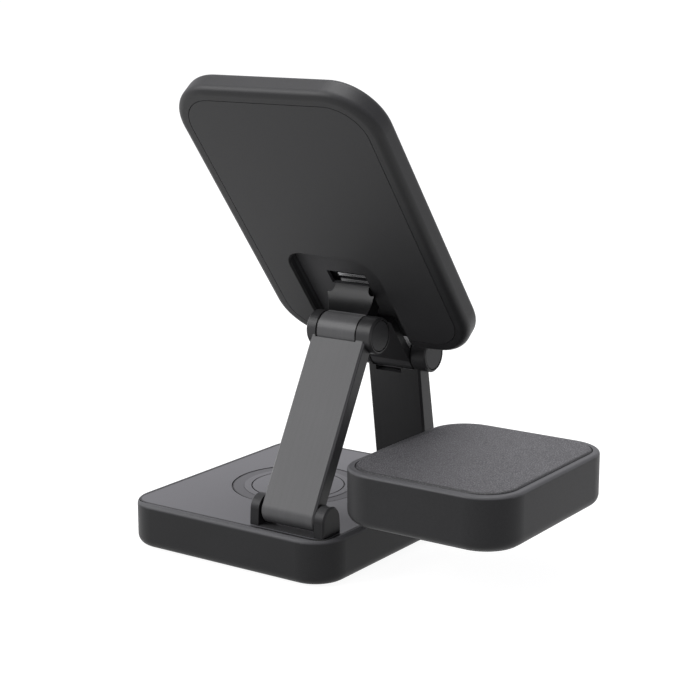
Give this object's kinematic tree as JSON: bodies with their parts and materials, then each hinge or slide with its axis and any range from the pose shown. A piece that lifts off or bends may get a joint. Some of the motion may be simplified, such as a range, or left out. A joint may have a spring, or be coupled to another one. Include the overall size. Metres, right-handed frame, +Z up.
{
  "type": "three in one wireless charger",
  "caption": "Folding wireless charger stand: weighted base with a charging disc, a hinged arm with a tilting phone plate, and a square padded charging pad on an arm at the side.",
  "frame": {"origin": "middle of the base's rubber foot, on the table", "axes": "+Z up, +X towards the side pad and along every hinge, +Y towards the user who sees the phone's screen"},
  "size_m": [0.1432, 0.1013, 0.1552],
  "materials": {
    "shell_plastic": "fine matte charcoal",
    "panel_plastic": "satin charcoal",
    "disc_plastic": "matte grey",
    "arm_metal": "charcoal anodised satin",
    "bright_steel": "bright",
    "sleeve_bronze": "plain turned",
    "copper_coil": "enamelled wire",
    "ferrite": "matt black",
    "board": "green lacquer",
    "soft_foot": "soft matt",
    "pad_leather": "pebbled grey"
  },
  "bodies": {
    "base": {"base_shell": "shell_plastic", "base_foot": "soft_foot", "base_cover": "panel_plastic", "base_screws": "bright_steel", "charging_ring": "disc_plastic", "charging_disc": "disc_plastic", "base_coil": "copper_coil", "base_ferrite": "ferrite", "ballast_plate": "bright_steel", "base_board": "board", "usb_socket": "bright_steel", "rear_hinge_bracket": "arm_metal", "rear_hinge_pin": "bright_steel"},
    "rear_arm": {"rear_arm": "arm_metal", "rear_hinge_sleeve": "sleeve_bronze", "plate_hinge_pin": "bright_steel", "plate_hinge_caps": "arm_metal"},
    "phone_plate": {"plate_frame": "shell_plastic", "front_pad": "soft_foot", "back_panel": "panel_plastic", "contact_bars": "bright_steel", "upper_leaf": "arm_metal", "lower_leaf": "arm_metal", "plate_hinge_sleeve": "sleeve_bronze", "lower_hinge_sleeve": "sleeve_bronze", "plate_coil": "copper_coil", "plate_ferrite": "ferrite", "magnet_ring": "bright_steel", "plate_board": "board"},
    "front_arm": {"front_arm": "arm_metal", "lower_hinge_pin": "bright_steel", "lower_hinge_caps": "arm_metal", "pad_hinge_sleeve": "sleeve_bronze"},
    "side_pad": {"pad_hinge_pin": "bright_steel", "pad_hinge_tube": "arm_metal", "pad_leaf_screws": "bright_steel", "pad_shell": "shell_plastic", "pad_insert": "pad_leather", "pad_bottom_cover": "shell_plastic", "pad_screws": "bright_steel", "pad_coil": "copper_coil", "pad_ferrite": "ferrite", "pad_board": "board"}
  },
  "joints": [
    {"name": "rear_arm_tilt", "type": "hinge", "parent": "base", "child": "rear_arm", "pos_m": [0.023, -0.0378, 0.02], "axis": [1, 0, 0], "range_deg": [0, 28]},
    {"name": "plate_tilt", "type": "hinge", "parent": "rear_arm", "child": "phone_plate", "pos_m": [0.023, -0.00844, 0.07271], "axis": [1, 0, 0], "range_deg": [-7, 20]},
    {"name": "front_arm_tilt", "type": "hinge", "parent": "phone_plate", "child": "front_arm", "pos_m": [0.023, 0.02141, 0.06127], "axis": [1, 0, 0], "range_deg": [-30, 8]},
    {"name": "pad_tilt", "type": "hinge", "parent": "front_arm", "child": "side_pad", "pos_m": [0.023, 0.02663, 0.02616], "axis": [1, 0, 0], "range_deg": [-20, 5]}
  ]
}
